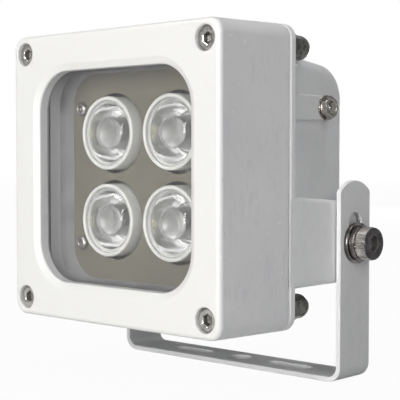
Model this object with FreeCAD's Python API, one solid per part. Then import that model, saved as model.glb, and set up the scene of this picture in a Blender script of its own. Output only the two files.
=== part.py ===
import FreeCAD, Part
import math
import os

from FreeCAD import Rotation, Vector

# White light illuminator on a U bracket, in millimetres.
# The origin is the centre of the bracket's underside. X runs across the two arms,
# the lamp shines towards -Y and +Z is up. Left and right are as seen from the front.

# Bracket, one folded strap
strap_width = 20.0
strap_thickness = 2.0
strap_edge_radius = 0.4
bend_inside_radius = 4.0
pivot_height = 54.0
arm_above_pivot = 24.3
arm_end_radius = 14.0
arm_end_corner_radius = 1.6
arm_slot_width = 9.0
arm_slot_travel = 7.5
base_slot_length = 22.0
base_slot_width = 6.5
base_slot_spacing = 54.0
base_hole_diameter = 10.5

# The lamp on its pivots
pivot_behind_face = 76.0
lamp_centre_above_pivot = 25.6
arm_clearance = 0.5

# Front housing
face_size = 112.0
face_corner_radius = 5.6
face_edge_radius = 2.0
housing_depth = 37.6
housing_draft = 1.1
housing_back_edge_radius = 0.8
housing_wall = 3.5
window_border = 14.7
window_corner_radius = 16.0
window_bevel_width = 2.7
window_bevel_depth = 1.4
window_edge_radius = 0.9
lip_depth = 5.2
pocket_clearance = 0.3

# Window
window_gasket_thickness = 1.0
window_gasket_setback = 0.2
glass_overlap = 4.4
glass_thickness = 4.0

# Frame behind the glass
frame_setback = 1.8
frame_gap = 3.5
frame_depth = 11.1
frame_straight_depth = 5.2
frame_taper = 1.8
frame_corner_radius = 18.0
frame_inside_radius = 15.0

# Mask plate with its lens holes
mask_thickness = 1.5
mask_margin = 5.5
small_hole_clearance = 0.1
lens_pitch = 34.5
lens_hole_diameter = 32.0
mask_screw_inset_x = 13.1
mask_screw_inset_z = 21.3

# Lens holders and lenses
barrel_diameter = 29.0
barrel_ahead_of_mask = 4.2
barrel_wall = 2.6
rim_lip = 1.9
rim_edge_radius = 0.8
rim_seat_depth = 2.2
lens_clearance = 0.1
lens_rim_thickness = 1.2
lens_dome_height = 3.4
lens_tail_diameter = 10.0
lens_tail_gap = 2.4
lens_bulge = 1.6
lens_pocket_diameter = 6.0
lens_pocket_depth = 4.0

# Emitters, board and heat plate
emitter_size = 5.0
emitter_height = 0.9
emitter_dome_diameter = 3.4
board_inset = 6.0
board_thickness = 1.6
board_corner_radius = 8.0
heat_plate_thickness = 3.0
heat_screw_inset = 2.9
heat_screw_z = 22.0
heat_screw_in_flange = 3.0
standoff_flats = 5.5

# Rear casting
rear_gasket_thickness = 0.4
rear_gasket_setback = 1.2
flange_overhang = 0.1
flange_thickness = 3.7
flange_corner_radius = 6.0
flange_edge_radius = 1.0
casting_depth = 88.0
casting_wall = 3.0
box_side_setback = 11.3
box_side_wall = 4.0
box_top_setback = 7.4
box_top_fall = 6.5
box_back_radius = 14.0
box_edge_radius = 5.0
box_inside_edge_radius = 7.0
block_top_front = 19.2
block_top_back = 15.0
block_bottom = 15.4
block_edge_radius = 2.0
block_side_thickness = 20.8
pivot_bore_depth = 18.0
pivot_bore_clearance = 0.05

# Corner screws through the housing and the flange
corner_screw_inset = 7.1
corner_post_radius = 6.5
corner_screw_diameter = 5.0
corner_screw_hole = 5.5
corner_head_diameter = 8.5
corner_head_height = 5.0
corner_socket_flats = 4.0
corner_socket_depth = 2.6
counterbore_diameter = 9.2
counterbore_depth = 6.4
counterbore_chamfer = 0.3
corner_washer_diameter = 12.0
corner_washer_thickness = 1.2
corner_nut_flats = 10.0
corner_nut_hex_height = 6.5
corner_nut_height = 14.0
corner_nut_dome_diameter = 9.6
corner_nut_thread_depth = 9.0
corner_nut_room = 1.0

# Pivot bolts and their washers
pivot_bolt_diameter = 8.0
pivot_head_diameter = 13.0
pivot_head_height = 5.3
pivot_head_chamfer = 0.6
pivot_socket_flats = 6.0
pivot_socket_depth = 3.2
pivot_bolt_end_gap = 1.0
washer_gap = 0.1
flat_washer_diameter = 16.0
flat_washer_thickness = 1.6
spring_washer_diameter = 14.0
spring_washer_thickness = 2.0
spring_washer_split = 0.8
washer_hole_clearance = 0.2

# Earth stud on the right side boss
stud_behind_face = 71.0
stud_below_box_top = 22.4
stud_diameter = 5.0
stud_sunk = 3.0
stud_beyond_nut = 0.3
side_boss_height = 10.4
side_boss_taper = 0.6
side_boss_out = 3.0
side_boss_edge_radius = 0.8
earth_washer_diameter = 10.0
earth_washer_thickness = 0.5
earth_nut_flats = 8.0
earth_nut_height = 2.7

# Small screws
small_screw_diameter = 3.0
small_head_diameter = 5.6
small_head_height = 2.1
small_socket_flats = 2.0
small_socket_depth = 1.2
mask_screw_length = 6.0

# Driver board on posts in the rear box
driver_side_gap = 1.0
driver_height = 46.0
driver_below_box_back = 8.5
driver_board_thickness = 1.6
driver_post_height = 6.0
driver_post_diameter = 7.0
driver_screw_inset = 4.0
capacitor_diameter = 12.5
capacitor_height = 20.0
capacitor_pitch = 15.0
choke_width = 22.0
choke_height = 18.0
choke_depth = 15.0
choke_core_width = 10.0
bridge_width = 22.0
bridge_height = 3.6
bridge_depth = 16.0
bridge_gap = 3.0
bridge_notch = 3.0
terminal_width = 26.0
terminal_height = 9.0
terminal_depth = 12.0
terminal_ways = 5
terminal_hole_diameter = 3.0

# Cable gland in the back wall
gland_thread_diameter = 16.0
gland_hole_clearance = 0.1
gland_pad_diameter = 25.0
gland_pad_height = 1.0
gland_flats = 20.0
gland_flange_height = 6.0
gland_neck_diameter = 15.0
gland_neck_height = 7.0
gland_bore_diameter = 10.0
gland_cap_height = 15.0
gland_cap_hole_diameter = 9.4
gland_cap_edge_radius = 3.0
gland_seal_diameter = 12.4
gland_seal_bore_diameter = 7.0
gland_seal_height = 6.0
locknut_flats = 20.0
locknut_height = 4.0

# Places worked out from the sizes
face_y = -pivot_behind_face
lamp_z = pivot_height + lamp_centre_above_pivot
housing_back = face_y + housing_depth
housing_back_size = face_size + 2 * housing_depth * math.tan(math.radians(housing_draft))
flange_size = housing_back_size + 2 * flange_overhang
side_x = flange_size / 2
arm_inside = side_x + arm_clearance
arm_outside = arm_inside + strap_thickness
arm_top = pivot_height + arm_above_pivot

cavity_size = face_size - 2 * housing_wall
window_size = face_size - 2 * window_border
gasket_front = face_y + lip_depth
glass_front = gasket_front + window_gasket_thickness
glass_back = glass_front + glass_thickness
glass_size = window_size + 2 * glass_overlap
glass_corner_radius = window_corner_radius
mask_front = glass_back + frame_depth
mask_back = mask_front + mask_thickness
frame_inside = window_size + 2 * frame_setback
frame_outside = cavity_size - 2 * frame_gap
mask_size = frame_inside + 2 * mask_margin
board_size = mask_size - 2 * board_inset

flange_front = housing_back + rear_gasket_thickness
flange_back = flange_front + flange_thickness
casting_back = face_y + casting_depth
inside_back = casting_back - casting_wall
heat_plate_front = flange_front - heat_plate_thickness
board_front = heat_plate_front - board_thickness
barrel_front = mask_front - barrel_ahead_of_mask
barrel_length = board_front - barrel_front

box_half_width = side_x - box_side_setback
box_top = lamp_z + side_x - box_top_setback
side_boss_x = box_half_width + side_boss_out
stud_y = face_y + stud_behind_face
stud_z = box_top - stud_below_box_top
block_inside_x = side_x - block_side_thickness
gland_face = casting_back + gland_pad_height

driver_width = 2 * (block_inside_x - driver_side_gap)
driver_z = box_top - box_top_fall - driver_below_box_back - driver_height / 2
driver_back = inside_back - driver_post_height
driver_front = driver_back - driver_board_thickness


def four_places(out_x, out_z, centre_z):
    """The four points at a distance left and right of the middle, and above and below centre_z."""
    return [(x, centre_z + z) for z in (out_z, -out_z) for x in (-out_x, out_x)]


corner_offset = face_size / 2 - corner_screw_inset
corner_places = four_places(corner_offset, corner_offset, lamp_z)
mask_screw_x = mask_size / 2 - mask_screw_inset_x
mask_screw_z = mask_size / 2 - mask_screw_inset_z
mask_screw_places = four_places(mask_screw_x, mask_screw_z, lamp_z)
heat_screw_places = four_places(mask_size / 2 - heat_screw_inset, heat_screw_z, lamp_z)
driver_screw_x = driver_width / 2 - driver_screw_inset
driver_screw_z = driver_height / 2 - driver_screw_inset
driver_screw_places = four_places(driver_screw_x, driver_screw_z, driver_z)
lens_names = ["upper_left", "upper_right", "lower_left", "lower_right"]
lens_places = dict(zip(lens_names, four_places(lens_pitch / 2, lens_pitch / 2, lamp_z)))

FRONT = Vector(0, -1, 0)
BACK = Vector(0, 1, 0)
UP = Vector(0, 0, 1)


def rounded_wire(corners, place):
    """Closed wire through the corners (u, v, radius). place turns a flat point into a point in space."""
    count = len(corners)
    rounds = []
    for i in range(count):
        here = Vector(corners[i][0], corners[i][1], 0)
        before = Vector(corners[i - 1][0], corners[i - 1][1], 0)
        after = Vector(corners[(i + 1) % count][0], corners[(i + 1) % count][1], 0)
        radius = corners[i][2]
        back = (before - here).normalize()
        onward = (after - here).normalize()
        half = back.getAngle(onward) / 2
        reach = radius / math.tan(half)
        middle = here + (back + onward).normalize() * (radius / math.sin(half) - radius)
        rounds.append([place(here + back * reach), place(middle), place(here + onward * reach)])
    edges = []
    for i in range(count):
        start, middle, end = rounds[i]
        if start.distanceToPoint(end) > 1e-6:
            edges.append(Part.Arc(start, middle, end).toShape())
        following = rounds[(i + 1) % count][0]
        if end.distanceToPoint(following) > 1e-6:
            edges.append(Part.LineSegment(end, following).toShape())
    return Part.Wire(edges)


def facing(y):
    """Flat points as (x, z) in the plane at depth y."""
    return lambda p: Vector(p.x, y, p.y)


def beside(x):
    """Flat points as (y, z) in the plane at x."""
    return lambda p: Vector(x, p.x, p.y)


def square(size, radius):
    """Corners of a rounded square on the lamp's centre line."""
    half = size / 2
    return [
        (-half, lamp_z - half, radius),
        (half, lamp_z - half, radius),
        (half, lamp_z + half, radius),
        (-half, lamp_z + half, radius),
    ]


def slab(size, radius, front, back):
    """Rounded square plate on the lamp's centre line, between two depths."""
    wire = rounded_wire(square(size, radius), facing(front))
    return Part.Face(wire).extrude(Vector(0, back - front, 0))


def oblong(length, width):
    """Corners of a slot outline about the flat origin, its length along u."""
    u, v = length / 2, width / 2
    return [(-u, -v, v), (u, -v, v), (u, v, v), (-u, v, v)]


def rod(radius, x, z, front, back):
    """Round bar along the depth."""
    return Part.makeCylinder(radius, back - front, Vector(x, front, z), BACK)


def cross_rod(radius, y, z, start, end):
    """Round bar across the lamp."""
    return Part.makeCylinder(radius, end - start, Vector(start, y, z), Vector(1, 0, 0))


def stood_on(shape, start, direction):
    """Moves a shape drawn from the origin along +Z to start and turns it to direction, its X side up."""
    side = direction.cross(UP)
    shape.Placement = FreeCAD.Placement(start, Rotation(UP, side, direction, "ZXY"))
    return shape


def turned(steps, start, direction):
    """Body of revolution. A step is a (radius, height) point, or a middle and an end point for an arc."""
    first = Vector(steps[0][0], 0, steps[0][1])
    here = first
    edges = []
    for step in steps[1:]:
        if isinstance(step[0], tuple):
            middle, end = [Vector(radius, 0, height) for radius, height in step]
            edges.append(Part.Arc(here, middle, end).toShape())
        else:
            end = Vector(step[0], 0, step[1])
            edges.append(Part.LineSegment(here, end).toShape())
        here = end
    edges.append(Part.LineSegment(here, first).toShape())
    solid = Part.Face(Part.Wire(edges)).revolve(Vector(), UP, 360)
    return stood_on(solid, start, direction)


def cap_step(radius, foot, height):
    """Arc step of a ball-shaped cap, from its foot on the outline to its top on the axis."""
    ball = (radius ** 2 + height ** 2) / (2 * height)
    half_turn = math.asin(radius / ball) / 2
    top = foot + height
    middle = (ball * math.sin(half_turn), top - ball * (1 - math.cos(half_turn)))
    return (middle, (0, top))


def ring(outer, inner, height, start, direction):
    """Flat ring by its diameters."""
    steps = [(inner / 2, 0), (outer / 2, 0), (outer / 2, height), (inner / 2, height)]
    return turned(steps, start, direction)


def drilled(radius, places, front, back):
    """Drills along the depth, one at each (x, z) place."""
    return [rod(radius, x, z, front, back) for x, z in places]


def hex_bar(flats, height, start, direction):
    """Six-sided bar with a corner upwards."""
    radius = flats / math.sqrt(3)
    points = [
        Vector(radius * math.cos(math.radians(a)), radius * math.sin(math.radians(a)), 0)
        for a in range(0, 361, 60)
    ]
    solid = Part.Face(Part.makePolygon(points)).extrude(Vector(0, 0, height))
    return stood_on(solid, start, direction)


def chamfered_hex(flats, height, start, direction):
    """Six-sided bar whose outer end has its corners turned off."""
    bar = hex_bar(flats, height, start, direction)
    corner = flats / math.sqrt(3)
    drop = (corner - flats / 2) * math.tan(math.radians(30))
    cap = turned(
        [(0, 0), (corner + 1, 0), (corner + 1, height - drop * 2), (flats / 2, height), (0, height)],
        start,
        direction,
    )
    return bar.common(cap)


def socket_screw(diameter, head, head_height, flats, socket_depth, length, start, direction, chamfer=0.3):
    """Socket-head screw. start is the middle of the head's outer face, direction points to the tip."""
    radius = diameter / 2
    tip = head_height + length
    body = turned(
        [
            (0, 0),
            (head / 2 - chamfer, 0),
            (head / 2, chamfer),
            (head / 2, head_height),
            (radius, head_height),
            (radius, tip - chamfer),
            (radius - chamfer, tip),
            (0, tip),
        ],
        start,
        direction,
    )
    return body.cut(hex_bar(flats, socket_depth, start, direction))


def edges_in(shape, test):
    """Edges whose bounding box passes the test."""
    return [edge for edge in shape.Edges if test(edge.BoundBox)]


def group(solids):
    """Like pieces that share a node, kept as separate solids."""
    return Part.makeCompound(solids)


def bracket():
    """U bracket: folded profile, its arm ends trimmed to a flat arc, with its slots and holes."""
    outside_bend = bend_inside_radius + strap_thickness
    fold = rounded_wire(
        [
            (-arm_outside, arm_top, 0),
            (-arm_outside, 0, outside_bend),
            (arm_outside, 0, outside_bend),
            (arm_outside, arm_top, 0),
            (arm_inside, arm_top, 0),
            (arm_inside, strap_thickness, bend_inside_radius),
            (-arm_inside, strap_thickness, bend_inside_radius),
            (-arm_inside, arm_top, 0),
        ],
        facing(-strap_width / 2),
    )
    strap = Part.Face(fold).extrude(Vector(0, strap_width, 0))
    half = strap_width / 2
    across = Vector(2 * arm_outside, 0, 0)
    crown_z = arm_top - arm_end_radius
    crown = cross_rod(arm_end_radius, 0, crown_z, -arm_outside, arm_outside)
    shank = Part.makeBox(2 * arm_outside, strap_width, crown_z, Vector(-arm_outside, -half, 0))
    strap = strap.common(crown.fuse(shank)).removeSplitter()
    corners = edges_in(strap, lambda b: b.ZMin > crown_z + 1 and b.DiagonalLength < strap_thickness + 0.01)
    strap = strap.makeFillet(arm_end_corner_radius, corners)
    rims = edges_in(strap, lambda b: b.YMax < -half + 0.01 or b.YMin > half - 0.01 or b.ZMin > crown_z + 1)
    strap = strap.makeFillet(strap_edge_radius, rims)
    slot_middle = pivot_height + arm_slot_travel / 2
    arm_slot = rounded_wire(
        oblong(arm_slot_travel + arm_slot_width, arm_slot_width),
        lambda p: Vector(-arm_outside, p.y, slot_middle + p.x),
    )
    cuts = [Part.Face(arm_slot).extrude(across)]
    base_slot = rounded_wire(oblong(base_slot_length, base_slot_width), lambda p: Vector(p.x, p.y, 0))
    for x in (-base_slot_spacing / 2, base_slot_spacing / 2):
        cut = Part.Face(base_slot).extrude(Vector(0, 0, strap_thickness))
        cut.translate(Vector(x, 0, 0))
        cuts.append(cut)
    cuts.append(Part.makeCylinder(base_hole_diameter / 2, strap_thickness))
    return strap.cut(cuts)


def cavity(front, back):
    """Hollow of the front housing behind its face, with the corner posts left standing."""
    hollow = slab(cavity_size, face_corner_radius, front, back)
    posts = []
    half = cavity_size / 2
    for x, z in corner_places:
        posts.append(rod(corner_post_radius, x, z, front, back))
        out_x = math.copysign(half, x)
        out_z = lamp_z + math.copysign(half, z - lamp_z)
        for near_x, near_z in (
            (x - math.copysign(corner_post_radius, x), z),
            (x, z - math.copysign(corner_post_radius, z - lamp_z)),
        ):
            low = Vector(min(near_x, out_x), front, min(near_z, out_z))
            posts.append(Part.makeBox(abs(out_x - near_x), back - front, abs(out_z - near_z), low))
    return hollow.cut(posts)


def cut_window(body):
    """Square opening with a shallow bevel round it, eased at both rims of the bevel."""
    wide = window_size + 2 * window_bevel_width
    knee = face_y + window_bevel_depth
    start = rounded_wire(square(wide, window_corner_radius + window_bevel_width), facing(face_y))
    end = rounded_wire(square(window_size, window_corner_radius), facing(knee))
    opening = slab(window_size, window_corner_radius, face_y, housing_back)
    body = body.cut([opening, Part.makeLoft([start, end], True, True)])
    near = wide / 2 + 0.01

    def on_rim(b):
        return b.YLength < 0.01 and b.YMax < knee + 0.01 and b.XMin > -near and b.XMax < near

    return body.makeFillet(window_edge_radius, edges_in(body, on_rim))


def front_housing():
    """Cast housing with its round-edged window, glass pocket, hollow and counterbored corners."""
    outline_front = rounded_wire(square(face_size, face_corner_radius), facing(face_y))
    outline_back = rounded_wire(square(housing_back_size, face_corner_radius), facing(housing_back))
    body = Part.makeLoft([outline_front, outline_back], True, True)
    body = body.makeFillet(face_edge_radius, edges_in(body, lambda b: b.YMax < face_y + 0.01))
    body = body.makeFillet(housing_back_edge_radius, edges_in(body, lambda b: b.YMin > housing_back - 0.01))
    body = cut_window(body)
    pocket = slab(glass_size + 2 * pocket_clearance, glass_corner_radius, gasket_front, glass_back)
    body = body.cut([pocket, cavity(glass_back, housing_back)])
    drills = []
    for x, z in corner_places:
        drills.append(rod(corner_screw_hole / 2, x, z, face_y, housing_back))
        radius = counterbore_diameter / 2
        steps = [
            (0, 0),
            (radius + counterbore_chamfer, 0),
            (radius, counterbore_chamfer),
            (radius, counterbore_depth),
            (0, counterbore_depth),
        ]
        drills.append(turned(steps, Vector(x, face_y, z), BACK))
    return body.cut(drills)


def window_gasket():
    inside = window_size + 2 * window_gasket_setback
    outer = slab(glass_size, glass_corner_radius, gasket_front, glass_front)
    return outer.cut(slab(inside, window_corner_radius, gasket_front, glass_front))


def window_glass():
    return slab(glass_size, glass_corner_radius, glass_front, glass_back)


def glass_frame():
    """Frame that presses the glass forward. Its opening is straight, then narrows to the mask plate."""
    outer = slab(frame_outside, frame_corner_radius, glass_back, mask_front)
    narrowing = glass_back + frame_straight_depth
    straight = slab(frame_inside, frame_inside_radius, glass_back, narrowing)
    start = rounded_wire(square(frame_inside, frame_inside_radius), facing(narrowing))
    end = rounded_wire(
        square(frame_inside - 2 * frame_taper, frame_inside_radius - frame_taper), facing(mask_front)
    )
    return outer.cut([straight, Part.makeLoft([start, end], True, True)])


def mask_plate():
    plate = slab(mask_size, frame_corner_radius, mask_front, mask_back)
    screw_hole = small_screw_diameter / 2 + small_hole_clearance
    holes = drilled(lens_hole_diameter / 2, lens_places.values(), mask_front, mask_back)
    holes += drilled(screw_hole, mask_screw_places, mask_front, mask_back)
    return plate.cut(holes)


def small_screw(x, z, seat, length):
    """Small socket screw whose head stands in front of its seat."""
    start = Vector(x, seat - small_head_height, z)
    return socket_screw(
        small_screw_diameter,
        small_head_diameter,
        small_head_height,
        small_socket_flats,
        small_socket_depth,
        length,
        start,
        BACK,
    )


def mask_screws():
    return group([small_screw(x, z, mask_front, mask_screw_length) for x, z in mask_screw_places])


def standoffs():
    """Six-sided posts between the board and the mask plate, bored for the mask screws."""
    posts = []
    length = board_front - mask_back
    for x, z in mask_screw_places:
        post = hex_bar(standoff_flats, length, Vector(x, mask_back, z), BACK)
        screw_end = mask_front + mask_screw_length
        bore = rod(small_screw_diameter / 2, x, z, mask_back, screw_end)
        tail = rod(small_screw_diameter / 2, x, z, board_front, heat_plate_front + heat_plate_thickness / 2)
        posts.append(post.cut(bore).fuse(tail))
    return group(posts)


def lens_holder(x, z):
    """White barrel that stands on the board, its rim stepped to seat the lens."""
    outer = barrel_diameter / 2
    inner = outer - barrel_wall
    seat = outer - rim_lip
    step = barrel_length - rim_seat_depth
    edge = barrel_length - rim_edge_radius
    slope = rim_edge_radius * (1 - math.sin(math.radians(45)))
    steps = [
        (inner, 0),
        (outer, 0),
        (outer, edge),
        ((outer - slope, barrel_length - slope), (outer - rim_edge_radius, barrel_length)),
        (seat + rim_edge_radius, barrel_length),
        ((seat + slope, barrel_length - slope), (seat, edge)),
        (seat, step),
        (inner, step),
    ]
    return turned(steps, Vector(x, board_front, z), FRONT)


def lens(x, z):
    """Clear lens: rim on the holder's step, domed front, curved tail with a pocket over the emitter."""
    rim = barrel_diameter / 2 - rim_lip - lens_clearance
    waist = barrel_diameter / 2 - barrel_wall - lens_clearance
    base = barrel_length - rim_seat_depth
    front = base + lens_rim_thickness
    tail = lens_tail_diameter / 2
    side_middle = ((waist + tail) / 2 + lens_bulge, (base + lens_tail_gap) / 2)
    pocket = lens_pocket_diameter / 2
    steps = [
        (0, lens_tail_gap + lens_pocket_depth),
        (pocket, lens_tail_gap + lens_pocket_depth),
        (pocket, lens_tail_gap),
        (tail, lens_tail_gap),
        (side_middle, (waist, base)),
        (rim, base),
        (rim, front),
        cap_step(rim, front, lens_dome_height),
    ]
    return turned(steps, Vector(x, board_front, z), FRONT)


def emitter(x, z):
    """Emitter package with its small clear dome."""
    half = emitter_size / 2
    front = board_front - emitter_height
    base = Part.makeBox(emitter_size, emitter_height, emitter_size, Vector(x - half, front, z - half))
    dome = Part.makeSphere(emitter_dome_diameter / 2, Vector(x, front, z))
    return base.fuse(dome.cut(rod(emitter_dome_diameter, x, z, front, front + emitter_dome_diameter)))


def led_board():
    board = slab(board_size, board_corner_radius, board_front, heat_plate_front)
    return board.cut(drilled(small_screw_diameter / 2, mask_screw_places, board_front, heat_plate_front))


def heat_plate():
    """Plate that carries the board and lies on the flange."""
    plate = slab(mask_size, frame_corner_radius, heat_plate_front, flange_front)
    half_way = heat_plate_front + heat_plate_thickness / 2
    screw_hole = small_screw_diameter / 2 + small_hole_clearance
    holes = drilled(small_screw_diameter / 2, mask_screw_places, heat_plate_front, half_way)
    holes += drilled(screw_hole, heat_screw_places, heat_plate_front, flange_front)
    return plate.cut(holes)


def heat_plate_screws():
    length = heat_plate_thickness + heat_screw_in_flange
    return group([small_screw(x, z, heat_plate_front, length) for x, z in heat_screw_places])


def rear_gasket():
    size = housing_back_size - 2 * rear_gasket_setback
    outer = slab(size, face_corner_radius, housing_back, flange_front)
    holes = drilled(corner_screw_hole / 2, corner_places, housing_back, flange_front)
    return outer.cut([cavity(housing_back, flange_front)] + holes)


def rear_box():
    """Upper box of the casting: top falling to the back, round back edge, softened side edges."""
    side = rounded_wire(
        [
            (flange_front, pivot_height, 0),
            (casting_back, pivot_height, 0),
            (casting_back, box_top - box_top_fall, box_back_radius),
            (flange_front, box_top, 0),
        ],
        beside(-box_half_width),
    )
    box = Part.Face(side).extrude(Vector(2 * box_half_width, 0, 0))
    soft = edges_in(
        box,
        lambda b: b.XMax - b.XMin < 0.01 and b.ZMax > pivot_height + 0.01 and b.YMax > flange_front + 0.01,
    )
    return box.makeFillet(box_edge_radius, soft)


def pivot_block():
    """Lower block of the casting, as wide as the flange, that takes the pivot bolts."""
    bottom = pivot_height - block_bottom
    side = rounded_wire(
        [
            (flange_front, bottom, 0),
            (casting_back, bottom, block_edge_radius),
            (casting_back, pivot_height + block_top_back, block_edge_radius),
            (flange_front, pivot_height + block_top_front, 0),
        ],
        beside(-side_x),
    )
    block = Part.Face(side).extrude(Vector(2 * side_x, 0, 0))
    soft = edges_in(block, lambda b: b.XMax - b.XMin < 0.01 and b.YMax > flange_front + 0.01)
    return block.makeFillet(block_edge_radius, soft)


def side_boss():
    """Tapered boss along the right side of the box, with a round end about the earth stud."""
    half = side_boss_height / 2
    end = half - side_boss_taper
    side = rounded_wire(
        [
            (flange_front, stud_z - half, 0),
            (stud_y + end, stud_z - end, end * 0.9),
            (stud_y + end, stud_z + end, end * 0.9),
            (flange_front, stud_z + half, 0),
        ],
        beside(box_half_width - box_side_wall / 2),
    )
    boss = Part.Face(side).extrude(Vector(side_boss_x - box_half_width + box_side_wall / 2, 0, 0))
    soft = edges_in(boss, lambda b: b.XMin > side_boss_x - 0.01 and b.YMax > flange_front + 0.01)
    return boss.makeFillet(side_boss_edge_radius, soft)


def casting_hollow():
    """Inside of the rear casting: wide behind the box, narrower between the pivot bores."""
    inside_x = box_half_width - box_side_wall
    top = box_top - casting_wall
    upper = rounded_wire(
        [
            (flange_front, pivot_height + block_top_front, 0),
            (inside_back, pivot_height + block_top_front, 0),
            (inside_back, top - box_top_fall, box_back_radius - casting_wall),
            (flange_front, top, 0),
        ],
        beside(-inside_x),
    )
    upper = Part.Face(upper).extrude(Vector(2 * inside_x, 0, 0))
    soft = edges_in(
        upper,
        lambda b: b.XMax - b.XMin < 0.01 and b.ZMax > pivot_height + block_top_front + 0.01
        and b.YMax > flange_front + 0.01,
    )
    upper = upper.makeFillet(box_inside_edge_radius, soft)
    bottom = pivot_height - block_bottom + casting_wall
    lower = Part.makeBox(
        2 * block_inside_x,
        inside_back - flange_front,
        pivot_height + block_top_front - bottom,
        Vector(-block_inside_x, flange_front, bottom),
    )
    return upper.fuse(lower)


def rear_casting():
    """Flange, box, pivot block and boss as one casting, hollowed and drilled."""
    flange = slab(flange_size, flange_corner_radius, flange_front, flange_back)
    rim = edges_in(flange, lambda b: b.YMax - b.YMin < 0.01)
    flange = flange.makeFillet(flange_edge_radius, rim)
    pad = rod(gland_pad_diameter / 2, 0, pivot_height, inside_back, gland_face)
    nut_end = flange_back + corner_washer_thickness + corner_nut_height + corner_nut_room
    nut_room = corner_washer_diameter / 2 + corner_nut_room
    housing = rear_box().fuse(pivot_block()).cut(drilled(nut_room, corner_places, flange_back, nut_end))
    body = flange.fuse([housing, side_boss(), pad]).removeSplitter()
    body = body.cut(casting_hollow())
    middle_of_wall = inside_back + casting_wall / 2
    body = body.fuse(drilled(driver_post_diameter / 2, driver_screw_places, driver_back, middle_of_wall))
    thread = small_screw_diameter / 2
    drills = drilled(corner_screw_hole / 2, corner_places, flange_front, flange_back)
    drills += drilled(thread, heat_screw_places, flange_front, flange_front + heat_screw_in_flange)
    drills += drilled(thread, driver_screw_places, driver_back, driver_front + driver_post_height)
    pivot_radius = pivot_bolt_diameter / 2 + pivot_bore_clearance
    drills.append(cross_rod(pivot_radius, 0, pivot_height, -side_x, pivot_bore_depth - side_x))
    drills.append(cross_rod(pivot_radius, 0, pivot_height, side_x - pivot_bore_depth, side_x))
    gland_radius = gland_thread_diameter / 2 + gland_hole_clearance
    drills.append(rod(gland_radius, 0, pivot_height, inside_back, gland_face))
    drills.append(cross_rod(stud_diameter / 2, stud_y, stud_z, side_boss_x - stud_sunk, side_boss_x))
    return body.cut(drills)


def corner_screws():
    """Long screws, heads sunk in the counterbores, tips in the dome nuts."""
    seat = face_y + counterbore_depth
    length = flange_back + corner_washer_thickness + corner_nut_thread_depth - 1 - seat
    screws = []
    for x, z in corner_places:
        screws.append(
            socket_screw(
                corner_screw_diameter,
                corner_head_diameter,
                corner_head_height,
                corner_socket_flats,
                corner_socket_depth,
                length,
                Vector(x, seat - corner_head_height, z),
                BACK,
            )
        )
    return group(screws)


def corner_washer(x, z):
    start = Vector(x, flange_back, z)
    return ring(corner_washer_diameter, corner_screw_hole, corner_washer_thickness, start, BACK)


def corner_washers():
    return group([corner_washer(x, z) for x, z in corner_places])


def corner_nut(x, z):
    """Dome nut: hexagon, short neck and round cap over a blind thread."""
    start = Vector(x, flange_back + corner_washer_thickness, z)
    radius = corner_nut_dome_diameter / 2
    hexagon = chamfered_hex(corner_nut_flats, corner_nut_hex_height, start, BACK)
    neck = corner_nut_height - radius
    dome = turned([(0, 0), (radius, 0), (radius, neck), cap_step(radius, neck, radius)], start, BACK)
    thread = rod(corner_screw_diameter / 2, x, z, start.y, start.y + corner_nut_thread_depth)
    return hexagon.fuse(dome).cut(thread)


def corner_nuts():
    return group([corner_nut(x, z) for x, z in corner_places])


def earth_stud():
    end = side_boss_x + earth_washer_thickness + earth_nut_height + stud_beyond_nut
    start = Vector(side_boss_x - stud_sunk, stud_y, stud_z)
    length = end - start.x
    radius = stud_diameter / 2
    steps = [(0, 0), (radius, 0), (radius, length - 0.5), (radius - 0.5, length), (0, length)]
    return turned(steps, start, Vector(1, 0, 0))


def earth_washer():
    start = Vector(side_boss_x, stud_y, stud_z)
    return ring(earth_washer_diameter, stud_diameter, earth_washer_thickness, start, Vector(1, 0, 0))


def earth_nut():
    start = Vector(side_boss_x + earth_washer_thickness, stud_y, stud_z)
    nut = chamfered_hex(earth_nut_flats, earth_nut_height, start, Vector(1, 0, 0))
    return nut.cut(cross_rod(stud_diameter / 2, stud_y, stud_z, start.x, start.x + earth_nut_height))


def driver_board():
    low = Vector(-driver_width / 2, driver_front, driver_z - driver_height / 2)
    board = Part.makeBox(driver_width, driver_board_thickness, driver_height, low)
    screw_hole = small_screw_diameter / 2 + small_hole_clearance
    return board.cut(drilled(screw_hole, driver_screw_places, driver_front, driver_back))


def driver_screws():
    return group([small_screw(x, z, driver_front, driver_post_height) for x, z in driver_screw_places])


def driver_capacitors():
    """Two upright can capacitors on the left half of the board."""
    cans = []
    radius = capacitor_diameter / 2
    for step in (-0.5, 0.5):
        start = Vector(-driver_screw_x / 2, driver_front, driver_z + step * capacitor_pitch)
        steps = [
            (0, 0),
            (radius, 0),
            (radius, 1.4),
            (radius - 0.4, 1.9),
            (radius, 2.4),
            (radius, capacitor_height - 0.6),
            (radius - 0.6, capacitor_height),
            (0, capacitor_height),
        ]
        cans.append(turned(steps, start, FRONT))
    return group(cans)


def driver_choke():
    """Wound choke: two core plates with the winding between them."""
    x = driver_screw_x / 2
    low = driver_z - choke_height / 2
    winding = rod(choke_core_width, x, driver_z, driver_front - choke_depth + 1, driver_front - 1)
    plates = []
    for z, height in ((low, 3.0), (low + choke_height - 3.0, 3.0)):
        start = Vector(x - choke_width / 2, driver_front - choke_depth, z)
        plates.append(Part.makeBox(choke_width, choke_depth, height, start))
    trim = Part.makeBox(
        choke_width, choke_depth, choke_height, Vector(x - choke_width / 2, driver_front - choke_depth, low)
    )
    return winding.common(trim).fuse(plates)


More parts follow.
